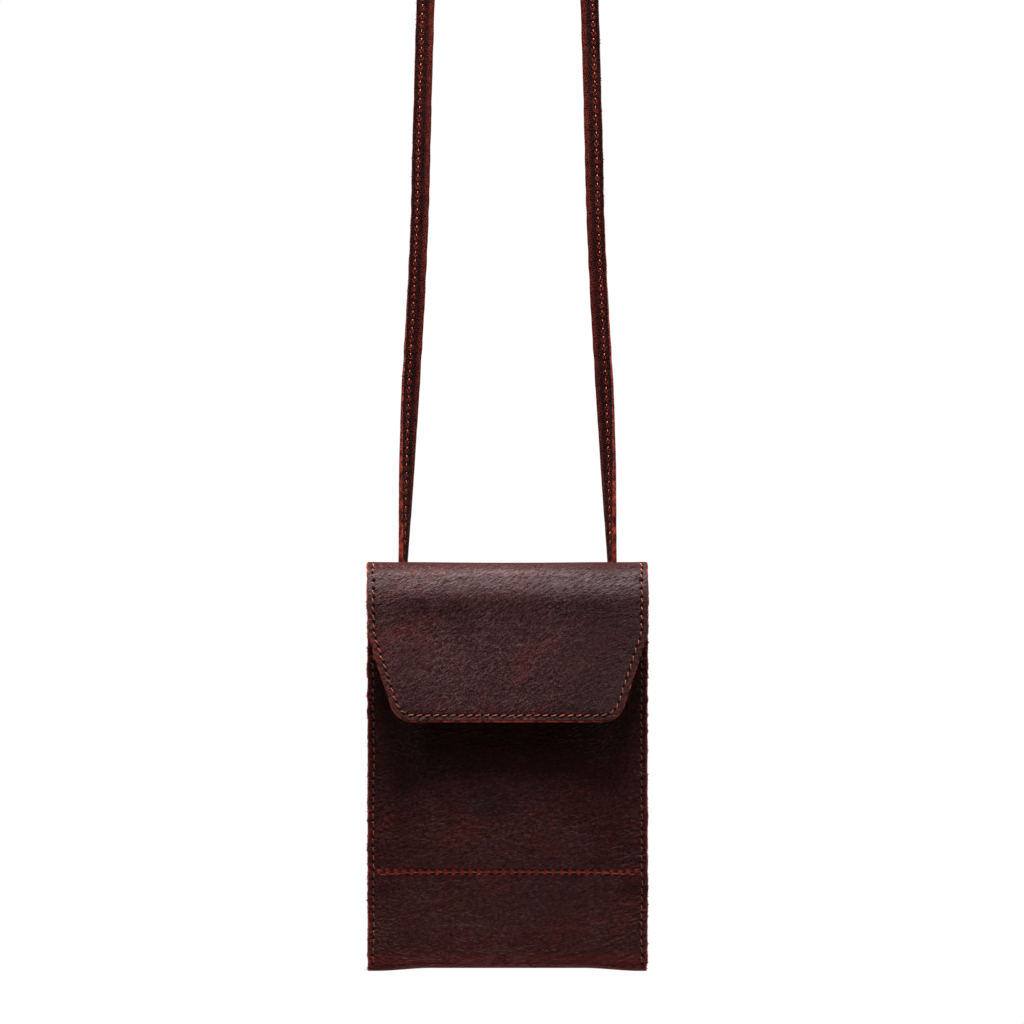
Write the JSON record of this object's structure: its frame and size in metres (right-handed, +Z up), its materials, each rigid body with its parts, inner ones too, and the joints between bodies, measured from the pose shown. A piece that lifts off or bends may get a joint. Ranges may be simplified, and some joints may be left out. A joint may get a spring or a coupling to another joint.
{
  "type": "crossbody pouch",
  "caption": "Slim upright leather pouch with a tapered stitched flap, a hidden magnetic snap and a narrow neck strap knotted through its back.",
  "frame": {"origin": "under the middle of the strap's top, where a hook, a peg or a neck holds it", "axes": "+Z up along the hanging pouch, front and flap towards -Y, +X to the right seen from the front"},
  "size_m": [0.12, 0.0262, 0.8171],
  "materials": {
    "hide": "oiled pebbled red-brown hide with raw red edges",
    "lining": "thin napped lining leather",
    "snap_metal": "thin plated magnetic snap"
  },
  "bodies": {
    "strap": {"strap": "hide"},
    "pouch": {"body_leather": "hide", "back_lining": "lining", "slip_pocket": "lining", "flap_fold": "hide", "fold_lining": "lining", "left_strap_knot": "hide", "right_strap_knot": "hide", "snap_plate": "snap_metal", "snap_plate_washer": "snap_metal"},
    "flap": {"flap_leather": "hide", "flap_lining": "lining", "snap_magnet": "snap_metal", "snap_magnet_washer": "snap_metal"}
  },
  "joints": [
    {"name": "strap_swing", "type": "hinge", "parent": "strap", "child": "pouch", "pos_m": [0, -0.0015, -0.6515], "axis": [1, 0, 0], "range_deg": [0, 150], "stiffness_Nm_per_rad": 0.12},
    {"name": "flap_hinge", "type": "hinge", "parent": "pouch", "child": "flap", "pos_m": [0, -0.0106, -0.6465], "axis": [-1, 0, 0], "range_deg": [0, 170], "deforming": ["flap_fold", "fold_lining"]}
  ]
}
